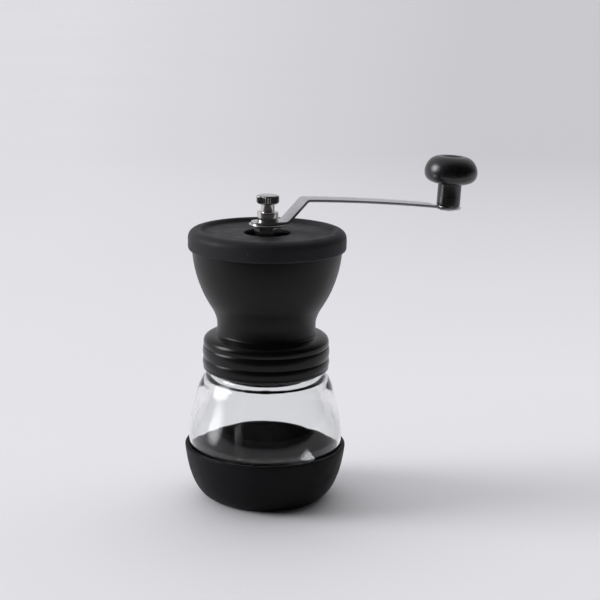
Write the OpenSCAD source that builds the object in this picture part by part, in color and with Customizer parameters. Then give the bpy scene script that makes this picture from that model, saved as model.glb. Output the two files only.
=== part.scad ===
// Hand crank coffee grinder with conical ceramic burrs, a glass jar and a rubber base.
// Millimetres, +Z up. The origin is the middle of the rubber base's flat underside, on the
// axis of the drive shaft. The crank arm lies along +X at rest.

/* [Rubber base] */
// Diameter across the rim of the rubber base
base_d = 93.4; // [92.8:0.2:94.6]
// Diameter of the flat underside that it stands on
foot_d = 64.4; // [62:0.4:66]
// Height of the rim above the table
base_h = 31.5; // [30.5:0.5:32.5]
// Thickness of the rubber wall
base_wall = 2.3; // [2:0.1:2.6]
// Thickness of the rubber floor
base_floor = 3; // [2.5:0.5:3.5]

/* [Glass jar] */
// Thickness of the glass wall
jar_wall = 2.7; // [2.4:0.1:3]
// Thickness of the glass floor
jar_floor = 5; // [4:0.5:6]
// Outer diameter of the neck inside the collar
neck_d = 64.8; // [64.4:0.2:65]
// Diameter of the mouth
mouth_d = 59.2; // [58.8:0.2:59.6]
// Height of the jar's rim above the table
jar_top = 91.5; // [91:0.5:92]
// Thickness of the flat seal on the rim
seal_t = 1.2; // [1:0.2:1.4]

/* [Hopper] */
// Diameter across the bands of the screw collar
collar_d = 73.2; // [73:0.2:74]
// Height of the collar's lower edge above the table
collar_z = 75.2; // [75:0.1:75.6]
// Diameter of the waist between the collar and the bowl
waist_d = 56.6; // [56:0.2:57]
// Diameter of the bowl at its rim
bowl_d = 85.8; // [85.2:0.2:86]
// Height of the bowl's rim above the table
bowl_top = 153; // [152.6:0.2:153.2]
// Thickness of the hopper's wall
hopper_wall = 2.4; // [2.2:0.1:2.6]
// Thickness of the burr housing's walls
housing_wall = 1.8; // [1.6:0.1:2]
// Number of ribs that hold the centre boss
rib_count = 3; // [3:1:4]

/* [Lid] */
// Diameter across the lid's rim
lid_d = 90.2; // [90:0.2:91]
// Height of the rim's crest above the table
lid_top = 157.2; // [157:0.2:157.6]
// How far the lid's floor lies below the crest
lid_recess = 1.6; // [1.2:0.1:2]
// Diameter of the hole round the shaft
lid_hole_d = 26.6; // [26:0.2:27]

/* [Shaft] */
// Diameter of the drive shaft
shaft_d = 8; // [7.8:0.1:8]
// Diameter of the threaded stud under the thumb nut
stud_d = 5; // [4.8:0.1:5]
// Diameter of the adjusting thread at the lower end
thread_d = 6; // [5.8:0.1:6]
// Size across the flats of the hexagonal seat
hub_flats = 13.2; // [13:0.2:14]
// Diameter of the washer under the arm
hub_washer_d = 21.2; // [20:0.4:22]

/* [Crank] */
// Distance from the shaft's axis to the knob's axis
crank_len = 112.5; // [108:0.5:118]
// Width of the flat strip
arm_w = 13.2; // [12.6:0.2:14]
// Thickness of the strip
arm_t = 1.4; // [1.3:0.1:1.6]
// Diameter of the thumb nut's knurled head
nut_head_d = 12.9; // [12.5:0.1:13.5]
// Number of ridges round the thumb nut
nut_ridges = 36; // [24:1:40]
// Lean of the knob away from the shaft, in degrees
knob_tilt = 3; // [1:0.5:4]

/* [Knob] */
// Diameter of the knob's head
knob_d = 31.3; // [30:0.1:32]
// Height of the knob from its washer to its flat top
knob_h = 29.4; // [29:0.1:31]
// Diameter of the knob's stem
knob_stem_d = 13.9; // [13.5:0.1:14.5]

/* [Burrs] */
// Outer diameter of the ceramic ring
ring_d = 50; // [49.6:0.2:50]
// Largest diameter of the ceramic cone
cone_d = 41.4; // [41:0.2:41.4]
// Number of grooves in each burr
groove_count = 14; // [10:1:16]
// Number of lobes round the adjusting dial
dial_lobes = 8; // [6:1:10]
// Number of coils in the burr spring
spring_coils = 3; // [3:1:4]

/* [Hidden] */
$fn = 72;
cut = 0.01;           // overshoot that makes a cut clean
run = 0.05;           // radial clearance of a running fit
gap = 0.35;           // clearance between curved faces that move apart

// Radii and levels that several pieces share
base_r = base_d / 2;
jar_r = base_r - base_wall - gap;
neck_r = neck_d / 2;
mouth_r = mouth_d / 2;
collar_r = collar_d / 2;
collar_bore_r = neck_r + 1.7;
ceiling_z = jar_top + seal_t;
shoulder_z = collar_z + 21.8;
waist_r = waist_d / 2;
waist_bore_r = waist_r - hopper_wall;
bowl_r = bowl_d / 2;
shaft_r = shaft_d / 2;
stud_r = stud_d / 2;
thread_r = thread_d / 2;
boss_r = 8.5;
bush_r = 6;
boss_z = [99.4, 122];
flange_r = 7.8;
flange_t = 1;
ring_r = ring_d / 2;
ring_z = [76.3, 92.2];
cone_r = cone_d / 2;
cone_z = [76, 90.2];
carrier_r = 8;
carrier_flange_z = [73.3, 75.7];
dial_z = [68.3, 73.2];
key_z = [76, 94.8];
shaft_end_z = 65.4;
retainer_z = [73, 75.3];
screw_top = 84;
screw_circle_r = ring_r + 2;
hub_z = [147.8, 159.7];
hub_washer_t = 1.1;
arm_z = hub_z[1] + hub_washer_t;
nut_z = arm_z + arm_t;
flat_half = 3;        // half the distance across the shaft's two flats
key_half = 3.2;       // the same, where the burr carrier slides
knob_seat_z = 166.1;  // top of the arm on the knob's axis
knob_washer_t = 0.3;

// A smooth curve from a to d, with handles b and c. Its last point is left out, so that
// curves can be chained.
function curve(a, b, c, d, n = 10) = [for (i = [0:n - 1]) let (t = i / n, u = 1 - t)
    u * u * u * a + 3 * u * u * t * b + 3 * u * t * t * c + t * t * t * d];

// One rounded band round the collar, from z0 up to z1, standing proud of radius r
function band(r, z0, z1, proud, n = 6) = [for (i = [0:n - 1])
    [r + proud * sin(180 * i / n), z0 + (z1 - z0) * i / n]];

// A plain ring from radius r0 to r1 between two levels
module ring(r0, r1, z0, z1) {
    rotate_extrude() polygon([[r0, z0], [r1, z0], [r1, z1], [r0, z1]]);
}

// Puts what is drawn round the upright axis on the knob's own axis, with z = 0 on the arm
module at_knob() {
    translate([crank_len, 0, knob_seat_z]) rotate([0, knob_tilt, 0]) children();
}

// A round bar with two flats, each half_w from the axis
module flatted_bar(r, half_w, z0, z1) {
    intersection() {
        translate([0, 0, z0]) cylinder(r = r, h = z1 - z0);
        translate([-r - 1, -half_w, z0 - 1]) cube([2 * r + 2, 2 * half_w, z1 - z0 + 2]);
    }
}

// Grooves that run down a cone, leaning by twist, all round it
module cone_grooves(r, z, slope, twist, len, w, depth, count) {
    for (i = [0:count - 1])
        rotate([0, 0, i * 360 / count])
            translate([r, 0, z])
                rotate([0, -slope, 0]) rotate([twist, 0, 0])
                    cube([2 * depth, w, len], center = true);
}

// ---- Jar and base ----

module rubber_base() {
    color("#1b1b1d") rotate_extrude() polygon(concat(
        [[0, 0]],
        curve([foot_d / 2, 0], [foot_d / 2 + 7.8, 2.5], [base_r - 1.8, 14], [base_r, base_h - 0.8]),
        [[base_r, base_h - 0.8], [base_r - 0.5, base_h], [base_r - base_wall + 0.4, base_h]],
        curve([base_r - base_wall, base_h - 0.4], [base_r - base_wall - 1.7, 15],
            [foot_d / 2 + 6.6, base_floor + 1.2], [foot_d / 2 + 0.8, base_floor]),
        [[foot_d / 2 + 0.8, base_floor], [0, base_floor]]));
}

module glass_jar() {
    inner_z = base_floor + jar_floor;
    belly_z = base_h + 0.3;
    color("#dfe8ea", 0.35) difference() {
        rotate_extrude() polygon(concat(
            [[0, base_floor]],
            curve([foot_d / 2 - 0.8, base_floor], [foot_d / 2 + 5.4, base_floor + 1.6],
                [jar_r - 1.9, 15.4], [jar_r, belly_z]),
            curve([jar_r, belly_z], [jar_r + 1.5, 40], [jar_r - 1.4, 52], [jar_r - 5.1, 65]),
            curve([jar_r - 5.1, 65], [jar_r - 6.7, 69.5], [neck_r + 2.6, 73.8], [neck_r, 74.6]),
            [[neck_r, 74.6], [neck_r, 79]],
            [for (z = [79.6:4:87.6], p = [[0, 0], [0.7, 0.8], [0.7, 1.4], [0, 2.2]])
                [neck_r + p[0], z + p[1]]],
            [[neck_r, jar_top - 0.8], [neck_r - 0.8, jar_top], [0, jar_top]]));
        rotate_extrude() polygon(concat(
            [[0, inner_z]],
            curve([foot_d / 2 - 3, inner_z], [foot_d / 2 + 4.3, inner_z + 1],
                [jar_r - jar_wall - 1.6, 17], [jar_r - jar_wall, belly_z]),
            curve([jar_r - jar_wall, belly_z], [jar_r - jar_wall + 1.4, 40],
                [jar_r - jar_wall - 1.4, 52], [jar_r - jar_wall - 5.2, 65.2]),
            curve([jar_r - jar_wall - 5.2, 65.2], [jar_r - jar_wall - 6.8, 70],
                [mouth_r + 1.6, 73.6], [mouth_r, 75.4]),
            [[mouth_r, 75.4], [mouth_r, jar_top + cut], [0, jar_top + cut]]));
    }
}

module jar_seal() {
    color("#e9e7e0") ring(mouth_r + 0.5, neck_r + 0.4, jar_top, ceiling_z);
}

// ---- Hopper and what is fixed in it ----

// The outside of the hopper, from the collar's lower edge up to the rim
function hopper_outside() = concat(
    [[collar_r - 0.9, collar_z], [collar_r - 0.35, collar_z + 0.8]],
    band(collar_r - 0.5, collar_z + 1.4, collar_z + 8.2, 0.5),
    band(collar_r - 0.55, collar_z + 8.2, collar_z + 15.1, 0.55),
    [[collar_r - 0.7, collar_z + 15.1], [collar_r - 0.4, collar_z + 15.6]],
    curve([collar_r - 0.4, collar_z + 17], [collar_r - 0.5, shoulder_z - 1.6],
        [collar_r - 3.2, shoulder_z - 0.3], [waist_r + 1.4, shoulder_z]),
    curve([waist_r + 1.4, shoulder_z], [waist_r + 0.4, shoulder_z + 0.1],
        [waist_r, shoulder_z + 0.8], [waist_r, shoulder_z + 1.8], 4),
    curve([waist_r, 102.5], [waist_r, 106.5], [waist_r + 1.8, 110.3], [waist_r + 3.8, 113.4]),
    curve([waist_r + 3.8, 113.4], [waist_r + 7.7, 119.4], [bowl_r - 1.1, 130.5], [bowl_r, 146.5]),
    [[bowl_r, 146.5], [bowl_r, bowl_top - 0.5], [bowl_r - 0.5, bowl_top]]);

// The inside of the bowl, from the rim down through the waist
function hopper_inside() = concat(
    [[bowl_r - hopper_wall + 0.5, bowl_top], [bowl_r - hopper_wall, bowl_top - 0.5]],
    curve([bowl_r - hopper_wall, 146.5], [bowl_r - hopper_wall - 1.2, 131.5],
        [waist_r + 5.6, 121], [waist_r + 1.6, 114.7]),
    curve([waist_r + 1.6, 114.7], [waist_r - 0.5, 111.8], [waist_bore_r, 110.5],
        [waist_bore_r, 108.5]),
    [[waist_bore_r, 108.5], [waist_bore_r, ceiling_z]]);

module hopper_body() {
    color("#202022") rotate_extrude() polygon(concat(
        hopper_outside(),
        hopper_inside(),
        [[collar_bore_r, ceiling_z]],
        [for (z = [86:-4:78], p = [[0, 2], [-0.6, 1.3], [-0.6, 0.7], [0, 0]])
            [collar_bore_r + p[0], z + p[1]]],
        [[collar_bore_r, collar_z]]));
}

// Round posts where the retainer's screws go
module at_screws(r, z0, z1) {
    for (i = [0:2])
        rotate([0, 0, 60 + i * 120]) translate([screw_circle_r, 0, z0]) cylinder(r = r, h = z1 - z0);
}

// Seat of the outer burr, with a sleeve in the waist and ribs that hold the shaft's boss
module burr_housing() {
    seat_r = ring_r + 2.4;
    sleeve_r = waist_bore_r - housing_wall;
    sleeve_top = 107.4;
    color("#2c2c2f") difference() {
        union() {
            rotate_extrude() polygon([
                [ring_r, retainer_z[1]], [seat_r, retainer_z[1]], [seat_r, ceiling_z],
                [waist_bore_r, ceiling_z], [waist_bore_r, sleeve_top], [sleeve_r, sleeve_top - 1.2],
                [sleeve_r, 100], [ring_r - 7, ring_z[1] + 3.5], [ring_r - 7, ring_z[1]],
                [ring_r, ring_z[1]]]);
            ring(bush_r, boss_r, boss_z[0], boss_z[1]);
            for (i = [0:rib_count - 1])
                rotate([0, 0, 60 + i * 360 / rib_count])
                    translate([boss_r - 1, -1.2, 100]) cube([sleeve_r - boss_r + 1.7, 2.4, 6.5]);
            at_screws(1.8, retainer_z[1] + 0.3, screw_top + 3);
        }
        at_screws(0.9, retainer_z[1] - 1, screw_top + 1);
    }
}

// A flanged bush: the flange is at flange_z, the sleeve goes from sleeve_z[0] to sleeve_z[1]
module bush(sleeve_z, flange_z) {
    union() {
        ring(shaft_r + run, bush_r, sleeve_z[0], sleeve_z[1]);
        ring(shaft_r + run, flange_r, flange_z, flange_z + flange_t);
    }
}

module upper_bush() {
    color("#c9a24a") bush([boss_z[1] - 8, boss_z[1]], boss_z[1]);
}

module lower_bush() {
    color("#c9a24a") bush([boss_z[0], boss_z[0] + 8], boss_z[0] - flange_t);
}

module outer_burr() {
    color("#efece4") difference() {
        rotate_extrude() polygon([
            [cone_r + 0.7, ring_z[0]], [ring_r, ring_z[0]], [ring_r, ring_z[1]],
            [ring_r - 6.8, ring_z[1]], [ring_r - 8, 89.6], [cone_r - 2.7, 84.8]]);
        cone_grooves(cone_r - 1.1, 80.8, 22, 24, 12, 1.4, 0.8, groove_count);
    }
}

module burr_retainer() {
    color("#2a2a2c") difference() {
        ring(cone_r + 1.3, mouth_r - 0.7, retainer_z[0], retainer_z[1]);
        at_screws(0.95, retainer_z[0] - 1, retainer_z[1] + 1);
    }
}

module retainer_screws() {
    head_t = 1.2;
    color("#b9bcc0") difference() {
        union() {
            at_screws(0.9, retainer_z[0] - cut, screw_top);
            at_screws(1.7, retainer_z[0] - head_t, retainer_z[0]);
        }
        for (i = [0:2])
            rotate([0, 0, 60 + i * 120])
                translate([screw_circle_r - 1.5, -0.25, retainer_z[0] - head_t - cut])
                    cube([3, 0.5, 0.6]);
    }
}

// ---- Lid ----

module lid() {
    lid_r = lid_d / 2;
    floor_z = lid_top - lid_recess;
    skirt_z = lid_top - 10.9;
    floor_r = bowl_r - 6.3;
    plug_r = bowl_r - hopper_wall - 0.3;
    color("#38383a") rotate_extrude() polygon(concat(
        [[lid_hole_d / 2, floor_z - 2], [lid_hole_d / 2, floor_z - 0.3]],
        [[lid_hole_d / 2 + 0.3, floor_z], [floor_r, floor_z]],
        curve([floor_r, floor_z], [floor_r + 2, floor_z], [floor_r + 2, lid_top],
            [lid_r - 3, lid_top], 8),
        curve([lid_r - 3, lid_top], [lid_r - 0.8, lid_top], [lid_r, lid_top - 1],
            [lid_r, lid_top - 3.4], 8),
        curve([lid_r, skirt_z + 2], [lid_r, skirt_z + 0.6], [lid_r - 0.4, skirt_z],
            [lid_r - 1.1, skirt_z], 5),
        [[lid_r - 1.1, skirt_z], [bowl_r + 0.3, skirt_z + 0.3], [bowl_r + 0.3, bowl_top]],
        [[plug_r, bowl_top], [plug_r, bowl_top - 3.5], [plug_r - 2, bowl_top - 3.5]],
        [[plug_r - 2, floor_z - 2]]));
}

// ---- Shaft and what turns on it ----

module drive_shaft() {
    clip_groove_z = boss_z[1] + flange_t + 0.8;
    color("#b4b7bb") difference() {
        union() {
            translate([0, 0, shaft_end_z]) cylinder(r = thread_r, h = key_z[0] + 1 - shaft_end_z);
            flatted_bar(shaft_r, key_half, key_z[0], key_z[1]);
            translate([0, 0, key_z[1]]) cylinder(r = shaft_r, h = hub_z[1] - key_z[1]);
            flatted_bar(shaft_r, flat_half, hub_z[1] - 1, nut_z - 0.1);
            translate([0, 0, nut_z - 1]) cylinder(r = stud_r, h = 12);
        }
        ring(shaft_r - 0.5, shaft_r + 1, clip_groove_z, clip_groove_z + 1);
    }
}

module hub_nut() {
    corner_r = hub_flats / 2 / cos(30);
    color("#8f9296") difference() {
        intersection() {
            translate([0, 0, hub_z[0]]) rotate([0, 0, -8])
                cylinder(r = corner_r, h = hub_z[1] - hub_z[0], $fn = 6);
            rotate_extrude() polygon([
                [0, hub_z[0]], [hub_flats / 2, hub_z[0]], [corner_r + 0.1, hub_z[0] + 0.7],
                [corner_r + 0.1, hub_z[1] - 0.7], [hub_flats / 2, hub_z[1]], [0, hub_z[1]]]);
        }
        translate([0, 0, hub_z[0] - 1]) cylinder(r = shaft_r, h = 20);
    }
}

module hub_washer() {
    color("#c4c7ca") ring(shaft_r + 0.1, hub_washer_d / 2, hub_z[1], arm_z);
}

module thrust_washer() {
    z = boss_z[1] + flange_t;
    color("#b4b7bb") ring(shaft_r + run, 7.4, z, z + 0.8);
}

module retaining_clip() {
    z = boss_z[1] + flange_t + 0.8;
    color("#6f7276") difference() {
        ring(shaft_r - 0.5, 6.6, z, z + 1);
        translate([0, -2.2, z - 1]) cube([10, 4.4, 3]);
    }
}

module spring_washer() {
    z = boss_z[0] - flange_t;
    color("#b4b7bb") ring(shaft_r + run, 7.6, z - 0.8, z);
}

// A coil swept round the axis: each ring of points is the wire's section at one step
module coil(r, wire_r, z0, z1, turns, steps = 20, sides = 6) {
    rings = turns * steps;
    points = [for (i = [0:rings], k = [0:sides - 1]) let (
        turn = 360 * i / steps,
        face = 360 * k / sides,
        out = r + wire_r * cos(face))
        [out * cos(turn), out * sin(turn), z0 + (z1 - z0) * i / rings + wire_r * sin(face)]];
    sides_list = [for (i = [0:rings - 1], k = [0:sides - 1]) let (n = (k + 1) % sides)
        [i * sides + k, (i + 1) * sides + k, (i + 1) * sides + n, i * sides + n]];
    first = [for (k = [0:sides - 1]) k];
    last = [for (k = [sides - 1:-1:0]) rings * sides + k];
    polyhedron(points, concat(sides_list, [first], [last]), convexity = 10);
}

module burr_spring() {
    wire_r = 0.6;
    color("#a5a8ac")
        coil(5.6, wire_r, cone_z[1] + wire_r + 0.2, boss_z[0] - flange_t - 0.9 - wire_r, spring_coils);
}

module inner_burr() {
    color("#efece4") difference() {
        rotate_extrude() polygon([
            [carrier_r, cone_z[0]], [cone_r, cone_z[0]], [cone_r, cone_z[0] + 0.4],
            [cone_r - 3.4, 84.8], [cone_r - 9, cone_z[1] - 0.4], [cone_r - 9.6, cone_z[1]],
            [carrier_r, cone_z[1]]]);
        cone_grooves(cone_r - 1.7, 80.4, 22, -24, 12, 1.4, 0.8, groove_count);
        cone_grooves(cone_r - 6, 87.5, 43, -30, 12, 2.2, 1.3, groove_count / 2);
    }
}

module burr_carrier() {
    flange_top = carrier_flange_z[1];
    color("#3a3a3d") difference() {
        union() {
            translate([0, 0, carrier_flange_z[0]]) cylinder(r = carrier_r, h = 16);
            translate([0, 0, carrier_flange_z[0]]) cylinder(r = 12, h = flange_top - carrier_flange_z[0]);
        }
        flatted_bar(shaft_r + 0.08, key_half + 0.08, 60, 100);
        for (i = [0:11])
            rotate([0, 0, i * 30]) translate([10, 0, carrier_flange_z[0]])
                rotate([45, 0, 0]) cube([5, 0.9, 0.9], center = true);
    }
}

module adjusting_dial() {
    height = dial_z[1] - dial_z[0];
    color("#29292b") difference() {
        union() {
            translate([0, 0, dial_z[0]]) cylinder(r = 11.6, h = height - 1.2);
            translate([0, 0, dial_z[0]]) cylinder(r = 6.5, h = height);
        }
        translate([0, 0, dial_z[0] - 1]) cylinder(r = thread_r + run, h = height + 2);
        for (i = [0:dial_lobes - 1])
            rotate([0, 0, (i + 0.5) * 360 / dial_lobes])
                translate([13, 0, dial_z[0] - 1]) cylinder(r = 2.9, h = height + 2);
    }
}

// ---- Crank ----

// The strip's top edge seen from the side: flat at the hub, up the incline, arched, then
// stepped down a little to the seat under the knob
arm_tail = 2.9;       // how far the hub end's round centre lies behind the shaft
arm_nose = 1.1;       // how far the other end's round centre lies past the knob
arm_foot_x = 10.4;
arm_bend = [21.9, 174.5];
arm_step = [102.5, 105.5];
arch_slope = 0.043;   // how steeply the arch starts to fall
arch_bow = 0.0005;    // how fast it gets steeper
function arch_z(x) = arm_bend[1] - arch_slope * (x - arm_bend[0])
    - arch_bow * pow(x - arm_bend[0], 2);
function seat_z(x) = knob_seat_z - (x - crank_len) * tan(knob_tilt);
arm_top = concat(
    [[-arm_w, nut_z], [arm_foot_x - 1, nut_z], [arm_foot_x, nut_z + 0.4]],
    curve([arm_bend[0] - 2.3, arm_bend[1] - 2.4], [arm_bend[0] - 1.4, arm_bend[1] - 1.4],
        [arm_bend[0] - 0.9, arm_bend[1]], [arm_bend[0] + 1.3, arch_z(arm_bend[0] + 1.3)], 5),
    [for (i = [0:12]) let (x = arm_bend[0] + 1.3 + (arm_step[0] - arm_bend[0] - 1.3) * i / 12)
        [x, arch_z(x)]],
    [for (x = [arm_step[1], crank_len + arm_w]) [x, seat_z(x)]]);

// The same edge moved down by the strip's thickness, square to itself
function lowered(p, t) = [for (i = [0:len(p) - 1]) let (
    a = p[max(i - 1, 0)],
    b = p[min(i + 1, len(p) - 1)],
    before = p[i] - a,
    after = b - p[i],
    d1 = norm(before) > 0 ? before / norm(before) : after / norm(after),
    d2 = norm(after) > 0 ? after / norm(after) : d1,
    mid = (d1 + d2) / norm(d1 + d2),
    stretch = t / (mid * d1))
    p[i] + stretch * [mid[1], -mid[0]]];

module crank_arm() {
    under = lowered(arm_top, arm_t);
    color("#b9bbbe") difference() {
        intersection() {
            rotate([90, 0, 0]) translate([0, 0, -arm_w]) linear_extrude(2 * arm_w)
                polygon(concat(arm_top, [for (i = [len(under) - 1:-1:0]) under[i]]));
            union() {
                translate([-arm_tail, 0, 150]) cylinder(r = arm_w / 2, h = 30);
                translate([crank_len + arm_nose, 0, 150]) cylinder(r = arm_w / 2, h = 30);
                translate([-arm_tail, -arm_w / 2, 150])
                    cube([arm_tail + crank_len + arm_nose, arm_w, 30]);
            }
        }
        flatted_bar(shaft_r + 0.08, flat_half + 0.08, arm_z - 1, nut_z + 1);
        at_knob() translate([0, 0, -5]) cylinder(r = pin_r, h = 10);
    }
}

module thumb_nut() {
    head_r = nut_head_d / 2;
    head_z = [nut_z + 10, nut_z + 15.1];
    ridge = 0.35;
    color("#c4c7ca") difference() {
        union() {
            rotate_extrude() polygon([
                [0, nut_z], [5.75, nut_z], [6.05, nut_z + 0.3], [6.05, nut_z + 5],
                [5.65, nut_z + 5.4], [3.9, nut_z + 5.4], [3.9, head_z[0] + 0.1], [0, head_z[0] + 0.1]]);
            intersection() {
                translate([0, 0, head_z[0]]) linear_extrude(head_z[1] - head_z[0])
                    polygon([for (i = [0:2 * nut_ridges - 1]) let (r = head_r - ridge * (i % 2))
                        r * [cos(180 * i / nut_ridges), sin(180 * i / nut_ridges)]]);
                rotate_extrude() polygon([
                    [0, head_z[0]], [head_r - 0.7, head_z[0]], [head_r + 0.2, head_z[0] + 0.9],
                    [head_r + 0.2, head_z[1] - 1], [head_r - 0.8, head_z[1]], [0, head_z[1]]]);
            }
        }
        translate([0, 0, nut_z - 1]) cylinder(r = stud_r + run, h = 13);
    }
}

// ---- Knob ----

pin_r = 2.5;
pin_head_z = 18.6;

module knob() {
    head_r = knob_d / 2;
    stem_r = knob_stem_d / 2;
    foot_z = knob_washer_t;
    top_z = foot_z + knob_h;
    neck_z = foot_z + 13;
    wide_z = foot_z + 19.6;
    hole_r = 3.75;
    color("#19191b") at_knob() rotate_extrude() polygon(concat(
        [[pin_r + run, foot_z], [stem_r - 1, foot_z]],
        curve([stem_r - 1, foot_z], [stem_r - 0.4, foot_z], [stem_r, foot_z + 0.4],
            [stem_r, foot_z + 1], 4),
        [[stem_r, foot_z + 1], [stem_r, neck_z]],
        curve([stem_r + 0.4, neck_z + 0.2], [head_r - 3.4, neck_z + 0.4],
            [head_r, wide_z - 3.9], [head_r, wide_z]),
        curve([head_r, wide_z], [head_r, wide_z + 5.4], [head_r - 3.8, top_z],
            [hole_r + 3.1, top_z], 12),
        [[hole_r + 3.1, top_z], [hole_r, top_z - 1.4], [hole_r, pin_head_z - 0.2],
            [pin_r + run, pin_head_z - 0.2]]));
}

module knob_pin() {
    rivet_r = 4.1;
    head_r = 3.4;
    color("#9a9da1") at_knob() difference() {
        rotate_extrude() polygon([
            [0, -arm_t - 1], [rivet_r - 0.7, -arm_t - 1], [rivet_r, -arm_t - 0.4],
            [rivet_r, -arm_t], [pin_r, -arm_t], [pin_r, pin_head_z], [head_r, pin_head_z],
            [head_r, pin_head_z + 1.2], [head_r - 1, pin_head_z + 2], [0, pin_head_z + 2]]);
        for (a = [0, 90])
            rotate([0, 0, a]) translate([-1.7, -0.35, pin_head_z + 1]) cube([3.4, 0.7, 2]);
    }
}

module knob_washer() {
    color("#c4c7ca") at_knob() ring(pin_r + run, knob_stem_d / 2 - 0.2, 0, knob_washer_t);
}

rubber_base();
glass_jar();
jar_seal();
hopper_body();
burr_housing();
upper_bush();
lower_bush();
lid();
drive_shaft();
hub_nut();
hub_washer();
thrust_washer();
retaining_clip();
spring_washer();
burr_spring();
crank_arm();
thumb_nut();
knob();
knob_pin();
knob_washer();
inner_burr();
burr_carrier();
adjusting_dial();
outer_burr();
burr_retainer();
retainer_screws();
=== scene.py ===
"""Hand crank coffee grinder: the finished pieces, their materials and a plain studio."""
import math

import bpy
from mathutils import Matrix, Vector


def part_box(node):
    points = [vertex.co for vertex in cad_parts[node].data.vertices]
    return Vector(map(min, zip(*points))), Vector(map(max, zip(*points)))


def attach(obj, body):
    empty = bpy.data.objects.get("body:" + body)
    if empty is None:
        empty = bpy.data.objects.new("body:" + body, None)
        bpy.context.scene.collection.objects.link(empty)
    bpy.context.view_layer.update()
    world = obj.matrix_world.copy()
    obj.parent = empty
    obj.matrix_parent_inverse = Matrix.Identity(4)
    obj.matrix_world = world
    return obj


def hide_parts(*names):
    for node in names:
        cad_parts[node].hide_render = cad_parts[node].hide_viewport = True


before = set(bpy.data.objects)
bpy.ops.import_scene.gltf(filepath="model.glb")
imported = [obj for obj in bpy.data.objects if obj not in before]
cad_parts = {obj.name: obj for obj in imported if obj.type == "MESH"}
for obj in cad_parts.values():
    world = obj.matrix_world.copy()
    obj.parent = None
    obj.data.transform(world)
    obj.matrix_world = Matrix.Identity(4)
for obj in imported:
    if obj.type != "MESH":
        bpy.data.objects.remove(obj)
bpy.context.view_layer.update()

MM = 0.001
UP = (0, 0, 1)


# ---- Sizes, in millimetres, read from the frame ----

def radius_of(node):
    """Half the width across Y, which is the radius of any round piece on the shaft's axis."""
    low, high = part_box(node)
    return (high.y - low.y) / 2 / MM


def foot_of(node):
    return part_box(node)[0].z / MM


def top_of(node):
    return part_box(node)[1].z / MM


BASE_R = radius_of("rubber_base")
BASE_TOP = top_of("rubber_base")
FOOT_R = 32.2
BASE_WALL = 2.3
BASE_FLOOR = foot_of("glass_jar")
JAR_R = BASE_R - BASE_WALL - 0.35
JAR_TOP = top_of("glass_jar")
JAR_WALL = 2.7
JAR_FLOOR = BASE_FLOOR + 5
NECK_R = 32.4
MOUTH_R = 29.6
COLLAR_R = 36.6
COLLAR_Z = 75.2
COLLAR_FOOT = 76.7
COLLAR_BORE = NECK_R + 1.7
CEILING = top_of("jar_seal")
SHOULDER = COLLAR_Z + 21.8
WAIST_R = 28.3
BOWL_R = radius_of("hopper_body")
BOWL_TOP = top_of("hopper_body")
HOPPER_WALL = 2.4
WAIST_BORE = WAIST_R - HOPPER_WALL
RING_R = radius_of("outer_burr")
RING_Z = (foot_of("outer_burr"), top_of("outer_burr"))
BOSS_Z = (top_of("lower_bush") - 8, foot_of("upper_bush") + 8)
LID_R = radius_of("lid")
LID_TOP = top_of("lid")
LID_FLOOR = LID_TOP - 1.6
LID_HOLE = 13.3
SHAFT_R = 4.0
SHAFT_FOOT = foot_of("drive_shaft")
STUD_R = 2.5
THREAD_R = 3.0
HUB_Z = (foot_of("hub_nut"), top_of("hub_nut"))
HUB_CORNER = 13.2 / 2 / math.cos(math.radians(30))
HUB_TURN = 4
WASHER_R = radius_of("hub_washer")
ARM_Z = top_of("hub_washer")
ARM_T = 1.4
ARM_HALF = radius_of("crank_arm")
NUT_Z = foot_of("thumb_nut")
NUT_R = radius_of("thumb_nut")
NUT_TOP = top_of("thumb_nut")
CRANK_LEN = 112.5
KNOB_SEAT = 166.1
KNOB_TILT = math.radians(3)
KNOB_R = radius_of("knob")
KNOB_WASHER = 0.3
KNOB_STEM_R = 6.95
KNOB_H = 29.4
CONE_R = radius_of("inner_burr")
CONE_Z = (foot_of("inner_burr"), top_of("inner_burr"))
DIAL_Z = (foot_of("adjusting_dial"), top_of("adjusting_dial"))


# ---- Outlines: lists of (radius, height) ----

def curve(a, b, c, d, steps=10):
    """Points of a smooth curve from a to d with handles b and c, without its last point."""
    points = []
    for i in range(steps):
        t = i / steps
        u = 1 - t
        points.append(tuple(
            u**3 * p + 3 * u * u * t * q + 3 * u * t * t * r + t**3 * s
            for p, q, r, s in zip(a, b, c, d)))
    return points


def band(r, low, high, proud, steps=10):
    """One rounded band round the collar."""
    return [(r + proud * math.sin(math.pi * i / steps), low + (high - low) * i / steps)
            for i in range(steps)]


def rounded(corners, steps=4):
    """An outline in which each corner (r, z, size) is rounded off, and each (r, z) is kept."""
    outline = []
    for i, corner in enumerate(corners):
        if len(corner) == 2:
            outline.append(corner)
            continue
        here = Vector(corner[:2])
        before = Vector(corners[i - 1][:2])
        after = Vector(corners[(i + 1) % len(corners)][:2])
        start = here + (before - here).normalized() * corner[2]
        end = here + (after - here).normalized() * corner[2]
        for k in range(steps + 1):
            t = k / steps
            outline.append(tuple((1 - t)**2 * start + 2 * t * (1 - t) * here + t * t * end))
    return outline


# ---- Modelling ----

def clear_selection():
    if bpy.context.object and bpy.context.object.mode != "OBJECT":
        bpy.ops.object.mode_set(mode="OBJECT")
    bpy.ops.object.select_all(action="DESELECT")


def pick(piece):
    """Selects one piece and makes it the one that is worked on."""
    clear_selection()
    piece.select_set(True)
    bpy.context.view_layer.objects.active = piece


def edit(mode="VERT"):
    bpy.ops.object.mode_set(mode="EDIT")
    bpy.ops.mesh.select_mode(type=mode)
    bpy.ops.mesh.select_all(action="DESELECT")


def done():
    bpy.ops.object.mode_set(mode="OBJECT")


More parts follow.
